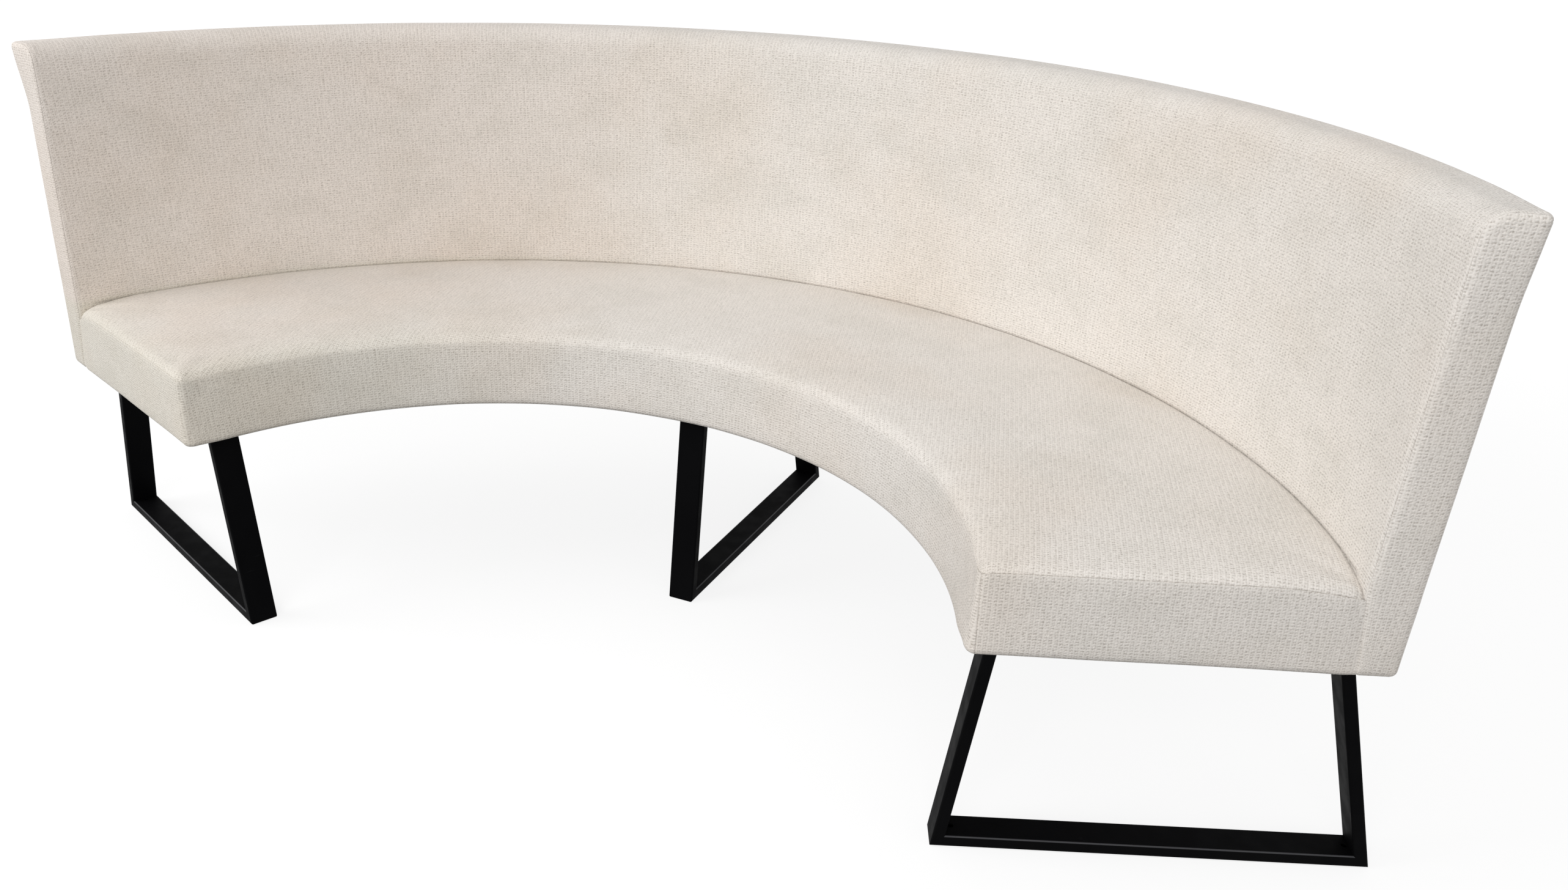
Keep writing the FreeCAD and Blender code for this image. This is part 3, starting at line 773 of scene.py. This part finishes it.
def makeSteel():
    material, tree, shader = startMaterial("blackPowderCoat")
    solid = objectCoords(tree)
    cloudy = noiseValue(tree, solid, 9, 4)
    colour = mixColour(tree, cloudy, steel["dark"], steel["light"])
    scratch = noiseValue(tree, scaled(tree, solid, (14, 14, 420)), 1, 3, 0.7)
    rubbed = ranged(tree, scratch, 0.70, 0.82, 0.0, 0.35)
    edge = upperEdges(tree, solid)
    # Painted highlight: the upper edges are lightened towards the grey of the rubbed scratches
    wearAndHighlight = calc(tree, "MAXIMUM", rubbed, calc(tree, "MULTIPLY", edge, steel["edgeHighlight"]))
    link(tree, mixColour(tree, wearAndHighlight, colour, steel["wearAndHighlight"]), shader.inputs["Base Color"])
    satin = ranged(tree, noiseValue(tree, solid, 35, 3), 0.3, 0.7, 0.50, 0.62)
    link(tree, satin, shader.inputs["Roughness"])
    shine = weighted(tree, steel["shine"], [(edge, steel["edgeShine"])])
    link(tree, shine, shader.inputs["Specular IOR Level"])
    addBump(tree, shader, noiseValue(tree, solid, 900, 2), 0.25, 0.0001)
    return material


plywood = {
    "pale": (0.66, 0.48, 0.29), "brown": (0.42, 0.27, 0.14), "glueLine": (0.36, 0.22, 0.11),
    "plies": 2200,  # how fast the layers follow each other, in radians per metre of height
}


def makePlywood():
    material, tree, shader = startMaterial("birchPlywood")
    solid = objectCoords(tree)
    split = tree.nodes.new("ShaderNodeSeparateXYZ")
    link(tree, solid, split.inputs[0])
    layers = calc(tree, "SINE", calc(tree, "MULTIPLY", split.outputs[2], plywood["plies"]))
    plies = ranged(tree, layers, -0.4, 0.6, 0.0, 1.0)
    grain = noiseValue(tree, scaled(tree, solid, (25, 260, 30)), 1, 4, 0.6)
    streaked = mixColour(tree, grain, plywood["brown"], plywood["pale"])
    link(tree, mixColour(tree, plies, plywood["glueLine"], streaked), shader.inputs["Base Color"])
    link(tree, ranged(tree, grain, 0.3, 0.7, 0.75, 0.6), shader.inputs["Roughness"])
    addBump(tree, shader, grain, 0.3, 0.0003)
    return material


zinc = {"dark": (0.46, 0.47, 0.49), "light": (0.66, 0.67, 0.70)}


def makeZinc():
    material, tree, shader = startMaterial("zincPlate")
    solid = objectCoords(tree)
    spangle = noiseValue(tree, solid, 120, 3)
    link(tree, mixColour(tree, spangle, zinc["dark"], zinc["light"]), shader.inputs["Base Color"])
    setSocket(shader, "Metallic", 1.0)
    link(tree, ranged(tree, spangle, 0.3, 0.7, 0.3, 0.48), shader.inputs["Roughness"])
    brushing = noiseValue(tree, scaled(tree, solid, (60, 600, 60)), 1, 2)
    addBump(tree, shader, brushing, 0.2, 0.0001)
    return material


fibre = {"dark": (0.012, 0.012, 0.013), "light": (0.05, 0.05, 0.052)}


def makeFeltMaterial():
    material, tree, shader = startMaterial("underliningFelt")
    solid = objectCoords(tree)
    fibres = noiseValue(tree, solid, 700, 4, 0.7)
    link(tree, mixColour(tree, fibres, fibre["dark"], fibre["light"]), shader.inputs["Base Color"])
    link(tree, ranged(tree, fibres, 0.3, 0.7, 0.98, 0.85), shader.inputs["Roughness"])
    addBump(tree, shader, fibres, 0.6, 0.0004)
    return material


nylon = {"dark": (0.018, 0.018, 0.019), "light": (0.035, 0.035, 0.037)}


def makeNylon():
    material, tree, shader = startMaterial("glideNylon")
    solid = objectCoords(tree)
    grain = noiseValue(tree, solid, 500, 2)
    link(tree, mixColour(tree, grain, nylon["dark"], nylon["light"]), shader.inputs["Base Color"])
    link(tree, ranged(tree, grain, 0.3, 0.7, 0.5, 0.65), shader.inputs["Roughness"])
    addBump(tree, shader, grain, 0.2, 0.0001)
    return material


def dress(thing, material):
    thing.data.materials.clear()
    thing.data.materials.append(material)


finishes = {
    "upholstery_fabric": makeCloth("creamBasketCloth"), "foam": makeCloth("paddingCloth"),
    "plywood": makePlywood(), "underlining_felt": makeFeltMaterial(), "black_steel": makeSteel(),
    "zinc_steel": makeZinc(), "glide_plastic": makeNylon(),
}
for subpart in frame["record"]["subparts"]:
    dress(nodes[subpart["node"]], finishes[subpart["material_slot"]])
for thing in (seatCushion, backCushion):
    dress(thing, finishes["upholstery_fabric"])
for thing in felts:
    dress(thing, finishes["underlining_felt"])
print("materials made")

# Floor and light
studio = {
    "floorColour": (0.22, 0.22, 0.22), "floorSize": 40,
    "nearLift": 0.83, "farLift": 0.93, "near": 1.6, "far": 4.5,  # how bright the floor shows by itself
    "ambient": 0.50, "lampSize": 3.0, "aim": (0, 0.1, 0.4),
}
lamps = {
    "leftLight": {"place": (-3.6, -2.6, 2.8), "power": 98},
    "frontLight": {"place": (1.3, -4.6, 2.4), "power": 90},
    "topLight": {"place": (0.0, 0.2, 4.0), "power": 9},
}


# 1 for rays that see the backdrop straight on, in a reflection or through glass
def seenRays(tree):
    rays = tree.nodes.new("ShaderNodeLightPath")
    return calc(tree, "MAXIMUM", rays.outputs["Is Camera Ray"],
                calc(tree, "MAXIMUM", rays.outputs["Is Glossy Ray"], rays.outputs["Is Transmission Ray"]))


def makeFloor():
    bm = bmesh.new()
    bmesh.ops.create_grid(bm, x_segments=2, y_segments=2, size=studio["floorSize"])
    floor = makeObject("studioFloor", bm)
    material, tree, shader = startMaterial("paleFloor")
    setSocket(shader, "Base Color", (*studio["floorColour"], 1))
    setSocket(shader, "Roughness", 0.9)
    setSocket(shader, "Specular IOR Level", 0.1)
    setSocket(shader, "Emission Color", (1, 1, 1, 1))
    distance = tree.nodes.new("ShaderNodeVectorMath")
    distance.operation = "LENGTH"
    link(tree, objectCoords(tree), distance.inputs[0])
    lift = ranged(tree, distance.outputs["Value"], studio["near"], studio["far"],
                  studio["nearLift"], studio["farLift"])
    link(tree, calc(tree, "MULTIPLY", seenRays(tree), lift), shader.inputs["Emission Strength"])
    dress(floor, material)


def makeLamp(name, values):
    data = bpy.data.lights.new(name, "AREA")
    data.shape = "SQUARE"
    data.size = studio["lampSize"]
    data.energy = values["power"]
    lamp = bpy.data.objects.new(name, data)
    lamp.location = values["place"]
    lamp.rotation_euler = (Vector(studio["aim"]) - lamp.location).to_track_quat("-Z", "Y").to_euler()
    scene.collection.objects.link(lamp)


def makeWorld():
    world = bpy.data.worlds.new("studio")
    scene.world = world
    world.use_nodes = True
    tree = world.node_tree
    background = tree.nodes["Background"]
    background.inputs["Color"].default_value = (1, 1, 1, 1)
    lift = calc(tree, "MULTIPLY", seenRays(tree), 1 - studio["ambient"])
    link(tree, calc(tree, "ADD", lift, studio["ambient"]), background.inputs["Strength"])


makeFloor()
makeWorld()
for name, values in lamps.items():
    makeLamp(name, values)
scene.view_settings.view_transform = "Standard"
print("studio made")
